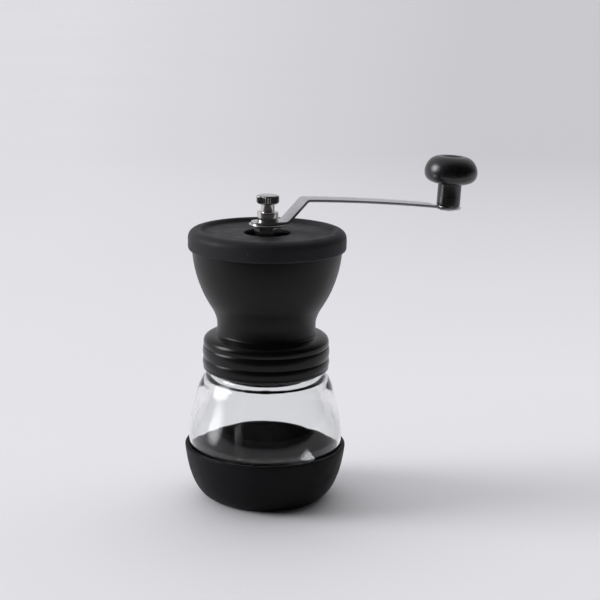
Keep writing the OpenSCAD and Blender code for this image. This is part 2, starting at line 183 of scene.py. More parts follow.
def select_where(piece, test, kind="vertices"):
    """Selects the vertices, or the polygons, whose place passes the test. Ends in edit mode."""
    pick(piece)
    edit("VERT" if kind == "vertices" else "FACE")
    done()
    for part in getattr(piece.data, kind):
        part.select = test(part.co if kind == "vertices" else part.center)
    bpy.ops.object.mode_set(mode="EDIT")


def single_point(name, x, y, z):
    """A new mesh with one point, left in edit mode with the point selected."""
    clear_selection()
    bpy.ops.mesh.primitive_plane_add(size=MM, location=(0, 0, 0))
    piece = bpy.context.object
    piece.name = name
    edit()
    bpy.ops.mesh.select_all(action="SELECT")
    bpy.ops.mesh.merge(type="CENTER")
    bpy.ops.transform.translate(value=(x * MM, y * MM, z * MM))
    return piece


def turned(name, outline, steps=144, closed=True):
    """A round piece, spun about the upright axis from its outline."""
    piece = single_point(name, outline[0][0], 0, outline[0][1])
    path = outline + outline[:1] if closed else outline
    for before, after in zip(path, path[1:]):
        step = ((after[0] - before[0]) * MM, 0, (after[1] - before[1]) * MM)
        bpy.ops.mesh.extrude_vertices_move(TRANSFORM_OT_translate={"value": step})
    bpy.ops.mesh.select_all(action="SELECT")
    bpy.ops.mesh.spin(steps=steps, angle=2 * math.pi, center=(0, 0, 0), axis=UP,
                      use_auto_merge=True)
    bpy.ops.mesh.select_all(action="SELECT")
    bpy.ops.mesh.remove_doubles(threshold=0.002 * MM)
    bpy.ops.mesh.normals_make_consistent(inside=False)
    done()
    return piece


def bevelled(piece, width, segments=2, angle=40):
    """Rounds the sharp edges."""
    pick(piece)
    bevel = piece.modifiers.new("edges", "BEVEL")
    bevel.width = width * MM
    bevel.segments = segments
    bevel.limit_method = "ANGLE"
    bevel.angle_limit = math.radians(angle)
    bpy.ops.object.modifier_apply(modifier=bevel.name)
    return piece


def carved(piece, tool, operation="DIFFERENCE"):
    """Cuts a tool shape out of a piece, or keeps what they share, and removes the tool."""
    pick(piece)
    carve = piece.modifiers.new("carve", "BOOLEAN")
    carve.operation = operation
    carve.solver = "EXACT"
    carve.object = tool
    bpy.ops.object.modifier_apply(modifier=carve.name)
    bpy.data.objects.remove(tool)
    return piece


def joined(first, *others):
    """Makes several meshes one piece with the first one's name."""
    pick(first)
    for other in others:
        other.select_set(True)
    bpy.ops.object.join()
    return first


def smooth(piece, angle=35):
    pick(piece)
    bpy.ops.object.shade_smooth_by_angle(angle=math.radians(angle))
    return piece


def bar(name, r, low, high, sides=48, chamfer=0.0):
    """A round bar on the upright axis with chamfered ends."""
    clear_selection()
    bpy.ops.mesh.primitive_cylinder_add(vertices=sides, radius=r * MM, depth=(high - low) * MM,
                                        location=(0, 0, (low + high) / 2 * MM))
    piece = bpy.context.object
    piece.name = name
    bpy.ops.object.transform_apply(location=True)
    if chamfer:
        bevelled(piece, chamfer, 1, 60)
    return piece


def block(name, low, high):
    """A box between two corners, for shaping further or for cutting with."""
    clear_selection()
    middle = [(a + b) / 2 * MM for a, b in zip(low, high)]
    bpy.ops.mesh.primitive_cube_add(size=1, location=middle,
                                    scale=[(b - a) * MM for a, b in zip(low, high)])
    piece = bpy.context.object
    piece.name = name
    bpy.ops.object.transform_apply(location=True, scale=True)
    return piece


def flatted_bar(name, r, half, low, high):
    """A round bar with two flats, each half a width from the axis."""
    piece = bar(name, r, low, high)
    for side in (-1, 1):
        pick(piece)
        edit()
        bpy.ops.mesh.select_all(action="SELECT")
        bpy.ops.mesh.bisect(plane_co=(0, side * half * MM, 0), plane_no=(0, side, 0),
                            use_fill=True, clear_outer=True)
        done()
    return piece


def helix(name, r, low, pitch, turns, profile, steps=24, taper=0, ease=None):
    """A rod swept up a helix. The profile is a list of (outwards, upwards) from its middle.

    taper is how many steps it takes to grow from nothing at each end, and ease(t) bends the
    rise, for a spring whose end coils lie flat.
    """
    count = int(turns * steps)
    turn = 2 * math.pi / steps
    rise = pitch * turns
    ease = ease or (lambda t: t)
    piece = single_point(name, r + profile[0][0], 0, low + profile[0][1])
    for before, after in zip(profile, profile[1:]):
        step = ((after[0] - before[0]) * MM, 0, (after[1] - before[1]) * MM)
        bpy.ops.mesh.extrude_vertices_move(TRANSFORM_OT_translate={"value": step})
    bpy.ops.mesh.select_all(action="SELECT")
    bpy.ops.mesh.edge_face_add()

    def middle(i):
        angle = i * turn
        height = low + rise * ease(i / count)
        return Vector((r * math.cos(angle), r * math.sin(angle), height)) * MM

    def size(i):
        return min(1, (min(i, count - i) + 0.4) / (taper + 0.4)) if taper else 1

    bpy.ops.transform.resize(value=[size(0)] * 3, center_override=middle(0))
    for i in range(count):
        here, there = middle(i), middle(i + 1)
        lift = (0, 0, there.z - here.z)
        bpy.ops.mesh.extrude_region_move(TRANSFORM_OT_translate={"value": lift})
        bpy.ops.transform.rotate(value=-turn, orient_axis="Z", center_override=(0, 0, 0))
        bpy.ops.transform.resize(value=[size(i + 1) / size(i)] * 3, center_override=there)
    bpy.ops.mesh.select_all(action="SELECT")
    bpy.ops.mesh.normals_make_consistent(inside=False)
    done()
    return piece


def placed(piece, matrix):
    """Puts a piece that was modelled on the upright axis in its own place."""
    pick(piece)
    piece.matrix_world = matrix
    bpy.ops.object.transform_apply(location=True, rotation=True, scale=True)
    return piece


# ---- Materials ----

class Finish:
    """A surface finish: its material, its shader and the place that its patterns read."""

    def __init__(self, name, colour, roughness, metallic=0.0, **uniform):
        self.material = bpy.data.materials.new(name)
        self.material.use_nodes = True
        self.tree = self.material.node_tree
        self.shader = self.tree.nodes["Principled BSDF"]
        self.set(Base_Color=(*colour, 1), Roughness=roughness, Metallic=metallic, **uniform)
        where = self.node("TexCoord").outputs["Object"]
        self.place = self.node("Mapping", Vector=where).outputs["Vector"]

    def set(self, **values):
        for key, value in values.items():
            self.shader.inputs[key.replace("_", " ")].default_value = value

    def link(self, value, key):
        self.tree.links.new(value, self.shader.inputs[key])

    def node(self, kind, settings=None, **inputs):
        """A node with its settings, and its inputs as values or as other nodes' outputs."""
        made = self.tree.nodes.new("ShaderNode" + kind)
        for key, value in (settings or {}).items():
            setattr(made, key, value)
        for key, value in inputs.items():
            socket = made.inputs[int(key[1:]) if key[1:].isdigit() else key.replace("_", " ")]
            if isinstance(value, bpy.types.NodeSocket):
                self.tree.links.new(value, socket)
            else:
                socket.default_value = value
        return made

    def stretched(self, scale, turn=(0, 0, 0)):
        made = self.node("Mapping", Vector=self.place, Scale=scale, Rotation=turn)
        return made.outputs["Vector"]

    def noise(self, scale, detail=3.0, where=None, rough=0.5):
        return self.node("TexNoise", Vector=where or self.place, Scale=scale, Detail=detail,
                         Roughness=rough).outputs["Fac"]

    def spread(self, value, low, high, start=0.3, end=0.7):
        """The value, from start to end, spread over the range from low to high."""
        return self.node("MapRange", Value=value, From_Min=start, From_Max=end,
                         To_Min=low, To_Max=high).outputs["Result"]

    def mix(self, amount, first, second):
        made = self.node("Mix", {"data_type": "RGBA"})
        for socket, value in zip((made.inputs[0], made.inputs[6], made.inputs[7]),
                                 (amount, first, second)):
            if isinstance(value, bpy.types.NodeSocket):
                self.tree.links.new(value, socket)
            else:
                socket.default_value = value if isinstance(value, float) else (*value, 1)
        return made.outputs[2]

    def height(self):
        """The height above the table."""
        return self.node("SeparateXYZ", Vector=self.place).outputs["Z"]

    def relief(self, height, distance, strength=1.0, under=None):
        bump = self.node("Bump", Height=height, Distance=distance * MM, Strength=strength)
        if under:
            self.tree.links.new(under, bump.inputs["Normal"])
        return bump.outputs["Normal"]

    def specks(self, scale, size):
        """Scattered dust: 1 in a few tiny spots and 0 elsewhere."""
        cells = self.node("TexVoronoi", Vector=self.place, Scale=scale)
        spot = self.spread(cells.outputs["Distance"], 1.0, 0.0, size * 0.6, size)
        chosen = self.node("SeparateColor", Color=cells.outputs["Color"]).outputs["Red"]
        few = self.spread(chosen, 0.0, 1.0, 0.93, 0.95)
        return self.node("Math", {"operation": "MULTIPLY"}, _0=spot, _1=few).outputs[0]


def soft_rubber(name, colour, worn, roughness, gloss, dust):
    """Matte moulded rubber: a fine grain, faint handling marks and a little dust."""
    f = Finish(name, colour, roughness, Specular_IOR_Level=gloss)
    handled = f.noise(55, 4)
    tone = f.mix(f.spread(handled, 0.0, 1.0), colour, worn)
    tone = f.mix(f.specks(210, 0.055), tone, dust)
    f.link(tone, "Base Color")
    f.link(f.spread(f.noise(120, 5), roughness - 0.06, roughness + 0.07), "Roughness")
    grain = f.relief(f.noise(2600, 2), 0.018)
    f.link(f.relief(f.noise(160, 3), 0.03, under=grain), "Normal")
    return f.material


def rubber_black():
    return soft_rubber("soft_black_rubber", (0.0045, 0.0045, 0.0055), (0.0075, 0.0075, 0.0085),
                       0.5, 0.1, (0.05, 0.048, 0.045))


def lid_rubber():
    return soft_rubber("charcoal_lid_rubber", (0.018, 0.018, 0.020), (0.024, 0.024, 0.026),
                       0.5, 0.12, (0.13, 0.125, 0.12))


def satin_plastic():
    """Satin moulding of the hopper, with its screw collar and shoulder more polished."""
    f = Finish("satin_black_plastic", (0.004, 0.0039, 0.0039), 0.38, Specular_IOR_Level=0.22)
    above_collar = f.spread(f.height(), 0.0, 1.0, (SHOULDER - 0.4) * MM, (SHOULDER + 1.5) * MM)
    smear = f.spread(f.noise(70, 5), -0.03, 0.04)
    base = f.spread(above_collar, 0.235, 0.37, 0.0, 1.0)
    f.link(f.node("Math", {"operation": "ADD"}, _0=base, _1=smear).outputs[0], "Roughness")
    f.link(f.mix(f.spread(f.noise(40, 4), 0.0, 1.0), (0.0032, 0.0031, 0.0032),
                 (0.0052, 0.005, 0.0049)), "Base Color")
    grain = f.relief(f.noise(3200, 2), 0.007)
    f.link(f.relief(f.noise(95, 2), 0.02, under=grain), "Normal")
    return f.material


def knob_plastic():
    """Semi-gloss black plastic with hair scratches from the hand."""
    f = Finish("knob_black_plastic", (0.004, 0.004, 0.0045), 0.27, Specular_IOR_Level=0.6)
    scratches = f.noise(90, 8, f.stretched((1, 9, 2), (0.4, 0.2, 0.7)), 0.7)
    f.link(f.spread(scratches, 0.22, 0.36), "Roughness")
    f.link(f.mix(f.spread(f.noise(60, 4), 0.0, 1.0), (0.0035, 0.0035, 0.004),
                 (0.0055, 0.0053, 0.0055)), "Base Color")
    f.link(f.relief(scratches, 0.006, under=f.relief(f.noise(2800, 2), 0.003)), "Normal")
    return f.material


def inner_plastic():
    f = Finish("inner_grey_plastic", (0.03, 0.03, 0.032), 0.5)
    f.link(f.mix(f.spread(f.noise(120, 4), 0.0, 1.0), (0.026, 0.026, 0.028),
                 (0.038, 0.037, 0.037)), "Base Color")
    f.link(f.spread(f.noise(300, 4), 0.42, 0.58), "Roughness")
    f.link(f.relief(f.noise(2200, 2), 0.01), "Normal")
    return f.material


def bush_plastic():
    f = Finish("natural_acetal", (0.72, 0.69, 0.6), 0.4, Subsurface_Weight=0.05)
    f.link(f.mix(f.spread(f.noise(180, 4), 0.0, 1.0), (0.70, 0.67, 0.58),
                 (0.78, 0.75, 0.66)), "Base Color")
    turned_lines = f.noise(60, 2, f.stretched((1, 1, 60)))
    f.link(f.relief(turned_lines, 0.006), "Normal")
    return f.material


def silicone():
    f = Finish("white_silicone", (0.75, 0.74, 0.70), 0.45, Transmission_Weight=0.12,
               Subsurface_Weight=0.2)
    f.link(f.mix(f.spread(f.noise(90, 4), 0.0, 1.0), (0.72, 0.71, 0.67),
                 (0.80, 0.79, 0.75)), "Base Color")
    f.link(f.relief(f.noise(900, 3), 0.01), "Normal")
    return f.material


def clear_glass():
    """Pressed clear glass, whose walls are never quite even."""
    f = Finish("clear_glass", (0.985, 0.995, 0.99), 0.0, IOR=1.47, Transmission_Weight=1.0)
    slow = f.noise(70, 1, f.stretched((1, 1, 0.35)))
    fine = f.noise(190, 2, f.stretched((1, 1, 0.5)))
    f.link(f.relief(fine, 0.012, under=f.relief(slow, 0.26)), "Normal")
    return f.material


def arm_steel():
    """Satin strip with the fine lengthwise lines of its rolling."""
    f = Finish("satin_strip_steel", (0.55, 0.55, 0.56), 0.3, 1.0)
    lines = f.noise(900, 3, f.stretched((0.02, 1, 1)), 0.6)
    blotch = f.noise(70, 4)
    f.link(f.mix(f.spread(blotch, 0.0, 1.0), (0.51, 0.51, 0.52), (0.59, 0.59, 0.60)),
           "Base Color")
    f.link(f.spread(lines, 0.24, 0.38), "Roughness")
    f.link(f.relief(lines, 0.004), "Normal")
    return f.material


def nut_steel():
    """Bright nickel with faint polishing marks and finger smears, and painted shade darkening the
    knurled band of its head.
    """
    f = Finish("bright_nickel", (0.66, 0.645, 0.62), 0.14, 1.0)
    smear = f.noise(260, 5)
    f.link(f.spread(smear, 0.10, 0.24), "Roughness")
    bright = f.mix(f.spread(f.noise(500, 4), 0.0, 1.0), (0.54, 0.525, 0.50), (0.66, 0.645, 0.62))
    # Painted shade: a much darker base colour over the knurled band of the head, from just above
    # its neck to just under its top face.
    above_neck = f.spread(f.height(), 0.0, 1.0, (NUT_Z + 9.9) * MM, (NUT_Z + 10.3) * MM)
    under_top = f.spread(f.height(), 1.0, 0.0, (NUT_TOP - 0.7) * MM, (NUT_TOP - 0.15) * MM)
    knurl_painted_shade = f.node("Math", {"operation": "MULTIPLY"}, _0=above_neck, _1=under_top).outputs[0]
    f.link(f.mix(knurl_painted_shade, bright, (0.24, 0.235, 0.23)), "Base Color")
    f.link(f.relief(f.noise(300, 3, f.stretched((1, 1, 8))), 0.006), "Normal")
    return f.material


def shaft_steel():
    """Turned steel with fine tool lines round it."""
    f = Finish("turned_steel", (0.42, 0.42, 0.43), 0.26, 1.0)
    lines = f.noise(220, 2, f.stretched((0.4, 0.4, 22)))
    f.link(f.spread(lines, 0.2, 0.34), "Roughness")
    f.link(f.mix(f.spread(f.noise(240, 4), 0.0, 1.0), (0.37, 0.37, 0.38),
                 (0.47, 0.465, 0.46)), "Base Color")
    f.link(f.relief(lines, 0.006), "Normal")
    return f.material


def spring_steel():
    f = Finish("drawn_spring_wire", (0.40, 0.40, 0.41), 0.3, 1.0)
    f.link(f.spread(f.noise(700, 4), 0.22, 0.4), "Roughness")
    f.link(f.mix(f.spread(f.noise(420, 4), 0.0, 1.0), (0.34, 0.34, 0.35),
                 (0.46, 0.455, 0.45)), "Base Color")
    f.link(f.relief(f.noise(1800, 2), 0.004), "Normal")
    return f.material


def ceramic():
    """Fired technical ceramic, matte and slightly speckled."""
    f = Finish("fired_ceramic", (0.80, 0.78, 0.72), 0.55)
    tone = f.mix(f.spread(f.noise(110, 5), 0.0, 1.0), (0.77, 0.745, 0.68), (0.84, 0.825, 0.77))
    f.link(f.mix(f.specks(900, 0.16), tone, (0.5, 0.46, 0.4)), "Base Color")
    f.link(f.spread(f.noise(600, 4), 0.46, 0.64), "Roughness")
    f.link(f.relief(f.noise(1500, 3), 0.015), "Normal")
    return f.material


MATERIALS = {
    "rubber_black": rubber_black(), "lid_rubber": lid_rubber(), "seal_silicone": silicone(),
    "clear_glass": clear_glass(), "satin_black_plastic": satin_plastic(),
    "knob_plastic": knob_plastic(), "inner_plastic": inner_plastic(),
    "bush_plastic": bush_plastic(), "arm_steel": arm_steel(), "nut_steel": nut_steel(),
    "shaft_steel": shaft_steel(), "spring_steel": spring_steel(), "burr_ceramic": ceramic()}


def finish_piece(piece, body, slot, *nodes):
    """Gives a new piece its material and its body, and hides the frame's nodes that it stands for.
    """
    piece.data.materials.clear()
    piece.data.materials.append(MATERIALS[slot])
    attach(piece, body)
    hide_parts(*nodes)
    return piece


# ---- Base and jar ----

def base_cup():
    """The soft cup, with a shallow recess in its underside and a rounded lip."""
    rim = BASE_R - BASE_WALL - 0.3
    outline = (
        [(0, 0.6), (FOOT_R - 6.6, 0.6), (FOOT_R - 5.6, 0.0), (FOOT_R - 0.8, 0.0)]
        + curve((FOOT_R, 0.05), (FOOT_R + 7.8, 2.5), (BASE_R - 1.8, 14),
                (BASE_R, BASE_TOP - 0.9), 28)
        + curve((BASE_R, BASE_TOP - 0.9), (BASE_R, BASE_TOP - 0.2), (BASE_R - 0.4, BASE_TOP),
                (BASE_R - 1, BASE_TOP), 5)
        + curve((BASE_R - 1, BASE_TOP), (rim + 0.6, BASE_TOP), (rim + 0.05, BASE_TOP - 0.1),
                (rim, BASE_TOP - 0.8), 5)
        + curve((rim, BASE_TOP - 0.8), (rim - 1.4, 15), (FOOT_R + 6.6, BASE_FLOOR + 1.2),
                (FOOT_R + 0.8, BASE_FLOOR), 26)
        + [(FOOT_R + 0.8, BASE_FLOOR), (0, BASE_FLOOR)])
    cup = turned("base_cup", outline, closed=False)
    return finish_piece(smooth(cup), "base", "rubber_black", "rubber_base")


def jar():
    """The jar, with a thick floor and a two-start screw thread moulded on its neck."""
    belly = BASE_TOP + 0.3
    wall = JAR_R - JAR_WALL
    outline = (
        [(0, BASE_FLOOR + 0.8)]
        + curve((FOOT_R - 12, BASE_FLOOR + 0.8), (FOOT_R - 8, BASE_FLOOR + 0.7),
                (FOOT_R - 5, BASE_FLOOR), (FOOT_R - 0.8, BASE_FLOOR), 6)
        + curve((FOOT_R - 0.8, BASE_FLOOR), (FOOT_R + 5.4, BASE_FLOOR + 1.6),
                (JAR_R - 1.9, 15.4), (JAR_R, belly), 26)
        + curve((JAR_R, belly), (JAR_R + 1.5, 40), (JAR_R - 1.4, 52), (JAR_R - 5.1, 65), 24)
        + curve((JAR_R - 5.1, 65), (JAR_R - 6.7, 69.5), (NECK_R + 2.6, 73.8),
                (NECK_R, 74.6), 14)
        + [(NECK_R, z) for z in (74.6, 78, 82, 86)]
        + rounded([(NECK_R, 86), (NECK_R, JAR_TOP, 1.0), (MOUTH_R, JAR_TOP, 1.0),
                   (MOUTH_R, 86)], 5)[1:-1]
        + [(MOUTH_R, z) for z in (86, 82, 78)]
        + [(MOUTH_R, 74.6)]
        + [p for p in reversed(curve((MOUTH_R + 1.2, 69.6), (MOUTH_R - 1.6, 71.2),
                                     (MOUTH_R - 0.9, 73.2), (MOUTH_R, 73.8), 10))]
        + [p for p in reversed(curve((wall - 7.4, 64.6), (wall - 8.1, 67.6),
                                     (MOUTH_R + 3.2, 69.4), (MOUTH_R + 1.2, 69.6), 10))]
        + [p for p in reversed(curve((wall + 0.4, belly), (wall + 1.4, 38.5), (wall - 3.8, 51),
                                     (wall - 7.4, 64.6), 24))]
        + [p for p in reversed(curve((FOOT_R - 3, JAR_FLOOR), (FOOT_R + 4.3, JAR_FLOOR + 1),
                                     (wall - 1.6, 17), (wall + 0.4, belly), 24))]
        + [(FOOT_R - 14, JAR_FLOOR + 0.25), (0, JAR_FLOOR + 0.5)])
    glass = turned("glass_jar_body", outline, 160, closed=False)
    ridge = [(-0.4, -1.1), (0.35, -0.5), (0.55, 0.0), (0.35, 0.5), (-0.4, 1.1)]
    for start in (0, math.pi):
        thread = helix("thread", NECK_R, 80.2, 7.0, 0.9, ridge, 40, taper=4)
        placed(thread, Matrix.Rotation(start, 4, "Z"))
        carved(glass, thread, "UNION")
    return finish_piece(smooth(glass), "jar", "clear_glass", "glass_jar")


# ---- Hopper ----

def hopper():
    """Bowl, waist, shoulder and banded collar in one moulding, with a thread in the collar."""
    outside = (
        [(COLLAR_R - 1.4, COLLAR_FOOT), (COLLAR_R - 0.8, COLLAR_FOOT),
         (COLLAR_R - 0.45, COLLAR_FOOT + 0.3), (COLLAR_R - 0.35, COLLAR_FOOT + 0.9)]
        + band(COLLAR_R - 0.5, COLLAR_FOOT + 1.4, COLLAR_Z + 8.2, 0.5, 12)
        + band(COLLAR_R - 0.55, COLLAR_Z + 8.2, COLLAR_Z + 15.1, 0.55, 12)
        + [(COLLAR_R - 0.75, COLLAR_Z + 15.1), (COLLAR_R - 0.45, COLLAR_Z + 15.7)]
        + curve((COLLAR_R - 0.4, COLLAR_Z + 17), (COLLAR_R - 0.5, SHOULDER - 1.6),
                (COLLAR_R - 3.2, SHOULDER - 0.3), (WAIST_R + 1.4, SHOULDER), 16)
        + curve((WAIST_R + 1.4, SHOULDER), (WAIST_R + 0.4, SHOULDER + 0.1),
                (WAIST_R, SHOULDER + 0.8), (WAIST_R, SHOULDER + 1.8), 6)
        + curve((WAIST_R, 102.5), (WAIST_R, 106.5), (WAIST_R + 1.8, 110.3),
                (WAIST_R + 3.8, 113.4), 12)
        + curve((WAIST_R + 3.8, 113.4), (WAIST_R + 7.7, 119.4), (BOWL_R - 1.1, 130.5),
                (BOWL_R, 146.5), 26)
        + [(BOWL_R, 146.5), (BOWL_R, BOWL_TOP - 0.8), (BOWL_R - 0.25, BOWL_TOP - 0.2),
           (BOWL_R - 0.8, BOWL_TOP)])
    mouth = BOWL_R - HOPPER_WALL
    inside = (
        [(mouth + 0.8, BOWL_TOP), (mouth + 0.2, BOWL_TOP - 0.2), (mouth, BOWL_TOP - 0.8)]
        + curve((mouth, 146.5), (mouth - 1.2, 131.5), (WAIST_R + 5.6, 121),
                (WAIST_R + 1.6, 114.7), 22)
        + curve((WAIST_R + 1.6, 114.7), (WAIST_R - 0.5, 111.8), (WAIST_BORE, 110.5),
                (WAIST_BORE, 108.5), 12))
    under = rounded([(WAIST_BORE, 108.5), (WAIST_BORE, CEILING), (COLLAR_BORE, CEILING, 0.5),
                     (COLLAR_BORE, COLLAR_FOOT, 0.5)], 3)
    shell = turned("hopper_moulding", outside + inside + under, 160)
    ridge = [(0.4, -0.9), (-0.55, -0.35), (-0.7, 0.0), (-0.55, 0.35), (0.4, 0.9)]
    threads = []
    for start in (0.6, 0.6 + math.pi):
        thread = helix("thread", COLLAR_BORE, 78.4, 7.0, 0.8, ridge, 40, taper=4)
        threads.append(placed(thread, Matrix.Rotation(start, 4, "Z")))
    joined(shell, *threads)
    return finish_piece(smooth(shell), "hopper", "satin_black_plastic", "hopper_body")


def burr_housing():
    """Seat of the outer burr, with a sleeve in the waist and ribs that hold the shaft's boss."""
    foot = foot_of("burr_housing")
    top = 107.4
    sleeve = WAIST_BORE - 1.8
    seat = turned("burr_seat_and_ribs", rounded([
        (RING_R, foot, 0.4), (RING_R + 2.4, foot, 0.5), (RING_R + 2.4, CEILING, 0.3),
        (WAIST_BORE, CEILING), (WAIST_BORE, top, 0.3), (sleeve, top - 1.2, 0.6),
        (sleeve, 100, 1.5), (RING_R - 7, RING_Z[1] + 3.5, 1.2), (RING_R - 7, RING_Z[1], 0.2),
        (RING_R, RING_Z[1])], 3), 144)
    parts = [turned("boss", rounded([(6.0, BOSS_Z[0], 0.3), (8.5, BOSS_Z[0], 0.5),
                                     (8.5, BOSS_Z[1], 0.6), (6.0, BOSS_Z[1], 0.3)], 3), 96)]
    for i in range(3):
        rib = block("rib", (7.4, -1.2, BOSS_Z[0] + 0.6), (sleeve + 0.7, 1.2, 106.5))
        bevelled(rib, 0.5, 3)
        post = bar("post", 1.8, foot + 0.3, 87, 32)
        placed(post, Matrix.Translation(((RING_R + 2) * MM, 0, 0)))
        for part in (rib, post):
            parts.append(placed(part, Matrix.Rotation(math.radians(60 + 120 * i), 4, "Z")))
    joined(seat, *parts)
    return finish_piece(smooth(seat), "hopper", "inner_plastic", "burr_housing")


def lid():
    """The soft lid: a raised rolled rim round a recessed floor, and a plug that fits the bowl."""
    skirt = LID_TOP - 10.9
    edge = LID_R - 9.0
    crest = LID_TOP + 0.5
    plug = BOWL_R - HOPPER_WALL - 0.3
    outline = (
        rounded([(LID_HOLE, LID_FLOOR - 2, 0.3), (LID_HOLE, LID_FLOOR, 0.45),
                 (edge, LID_FLOOR)], 4)[:-1]
        + [(LID_HOLE + 6, LID_FLOOR), (LID_HOLE + 14, LID_FLOOR)]
        + curve((edge, LID_FLOOR), (edge + 1.2, LID_FLOOR), (edge + 1.4, crest),
                (edge + 3.3, crest), 16)
        + curve((edge + 3.3, crest), (LID_R - 2.0, crest), (LID_R, crest - 2.0),
                (LID_R, LID_TOP - 4.6), 20)[1:]
        + [(LID_R, LID_TOP - 5.5)]
        + curve((LID_R, skirt + 2), (LID_R, skirt + 0.6), (LID_R - 0.4, skirt),
                (LID_R - 1.1, skirt), 8)
        + [(LID_R - 1.1, skirt), (BOWL_R + 0.6, skirt + 0.02), (BOWL_R + 0.35, skirt + 0.3),
           (BOWL_R + 0.35, BOWL_TOP + 0.02)]
        + rounded([(BOWL_R, BOWL_TOP + 0.02), (plug, BOWL_TOP + 0.02), (plug, BOWL_TOP - 3.5, 0.6),
                   (plug - 2, BOWL_TOP - 3.5, 0.6), (plug - 2, LID_FLOOR - 2, 0.8)], 3)[1:]
        + [(LID_HOLE + 14, LID_FLOOR - 2)])
    cover = turned("soft_lid", outline, 160)
    return finish_piece(smooth(cover), "lid", "lid_rubber", "lid")


# ---- Shaft and what turns on it ----

def shaft():
    """One bar: adjusting thread, keyed length, running length, flats for the arm and the stud."""
    parts = [
        flatted_bar("keyed", SHAFT_R, 3.2, CONE_Z[0], 94.8),
        turned("running", rounded([(0, 94.7), (SHAFT_R, 94.7, 0.3), (SHAFT_R, 123.8),
                                   (SHAFT_R - 0.5, 123.8), (SHAFT_R - 0.5, 124.8),
                                   (SHAFT_R, 124.8), (SHAFT_R, 158.7), (0, 158.7)], 2),
               64, closed=False),
        flatted_bar("flats", SHAFT_R, 3.0, 158.7, NUT_Z - 0.1),
        bar("stud", STUD_R - 0.28, NUT_Z - 1, NUT_Z + 11, 40, 0.5),
        helix("stud_thread", STUD_R - 0.28, NUT_Z + 0.3, 0.8, 13,
              [(-0.1, -0.38), (0.27, -0.06), (0.27, 0.06), (-0.1, 0.38)], 24, taper=8),
        bar("adjusting_core", THREAD_R - 0.35, SHAFT_FOOT, CONE_Z[0] + 0.5, 40, 0.6),
        helix("adjusting_thread", THREAD_R - 0.35, SHAFT_FOOT + 0.7, 1.0, 9,
              [(-0.1, -0.47), (0.34, -0.08), (0.34, 0.08), (-0.1, 0.47)], 24, taper=8)]
    spindle = joined(*parts)
    spindle.name = "spindle"
    return finish_piece(smooth(spindle, 30), "shaft", "shaft_steel", "drive_shaft")


def hub():
    """The hexagonal seat under the arm, with its corners chamfered."""
    clear_selection()
    bpy.ops.mesh.primitive_cylinder_add(
        vertices=6, radius=HUB_CORNER * MM, depth=(HUB_Z[1] - HUB_Z[0]) * MM,
        location=(0, 0, (HUB_Z[0] + HUB_Z[1]) / 2 * MM), rotation=(0, 0, math.radians(HUB_TURN)))
    seat = bpy.context.object
    seat.name = "hexagon_seat"
    bpy.ops.object.transform_apply(location=True, rotation=True)
    half = HUB_CORNER * math.cos(math.radians(30))
    shape = turned("corners", [
        (0, HUB_Z[0] - 0.01), (half - 0.1, HUB_Z[0] - 0.01), (HUB_CORNER + 0.2, HUB_Z[0] + 0.85),
        (HUB_CORNER + 0.2, HUB_Z[1] - 0.85), (half - 0.1, HUB_Z[1] + 0.01), (0, HUB_Z[1] + 0.01)],
        96, closed=False)
    carved(seat, shape, "INTERSECT")
    carved(seat, bar("bore", SHAFT_R + 0.05, HUB_Z[0] - 1, HUB_Z[1] + 1, 64))
    bevelled(seat, 0.18, 2, 28)
    return finish_piece(smooth(seat, 30), "shaft", "nut_steel", "hub_nut")


def washer_under_arm():
    washer = turned("wide_washer", rounded([
        (SHAFT_R + 0.1, HUB_Z[1], 0.1), (WASHER_R, HUB_Z[1], 0.35), (WASHER_R, ARM_Z, 0.35),
        (SHAFT_R + 0.1, ARM_Z, 0.1)], 4), 120)
    return finish_piece(smooth(washer, 50), "shaft", "nut_steel", "hub_washer")


def spring():
    """A compression spring whose end coils lie flat."""
    low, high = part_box("burr_spring")
    wire = 0.6
    bottom, top = low.z / MM + wire, high.z / MM - wire
    section = [(wire * math.cos(2 * math.pi * k / 12), wire * math.sin(2 * math.pi * k / 12))
               for k in range(12)]
    turns = 4.5
    flat = 0.16

    def ease(t):
        rise = min(max((t - flat) / (1 - 2 * flat), 0), 1)
        edge = 1.1 * wire / (top - bottom)
        last = max((t - 1 + flat) / flat, 0)
        return edge * min(t / flat, 1) + (1 - 2 * edge) * rise + edge * last

    coil = helix("coil_spring", 5.6, bottom, (top - bottom) / turns, turns, section, 32, ease=ease)
    return finish_piece(smooth(coil, 60), "shaft", "spring_steel", "burr_spring")


# ---- Crank ----

def arm_path():
    """The strip's upper face seen from the side, from the hub's end to the knob's end."""
    bend = (21.9, 174.5)

    def arch(x):
        return bend[1] - 0.043 * (x - bend[0]) - 0.0005 * (x - bend[0])**2

    def seat(x):
        return KNOB_SEAT - (x - CRANK_LEN) * math.tan(KNOB_TILT)

    crest = bend[0] + 1.6
    path = [(-2.9 - ARM_HALF, NUT_Z), (7.6, NUT_Z)]
    path += curve((7.6, NUT_Z), (9.6, NUT_Z), (10.2, NUT_Z + 0.3), (11.4, NUT_Z + 1.5), 6)
    path += curve((bend[0] - 2.8, bend[1] - 2.9), (bend[0] - 1.1, bend[1] - 1.2),
                  (bend[0] - 0.6, bend[1]), (crest, arch(crest)), 8)
    path += [(crest + (102.5 - crest) * i / 14, arch(crest + (102.5 - crest) * i / 14))
             for i in range(15)]
    path += [(105.5, seat(105.5)), (CRANK_LEN + 1.1 + ARM_HALF, seat(CRANK_LEN + 1.1 + ARM_HALF))]
    return path


def along(path, x):
    for a, b in zip(path, path[1:]):
        if a[0] <= x <= b[0]:
            return a[1] + (b[1] - a[1]) * (x - a[0]) / (b[0] - a[0])
    return path[-1][1]


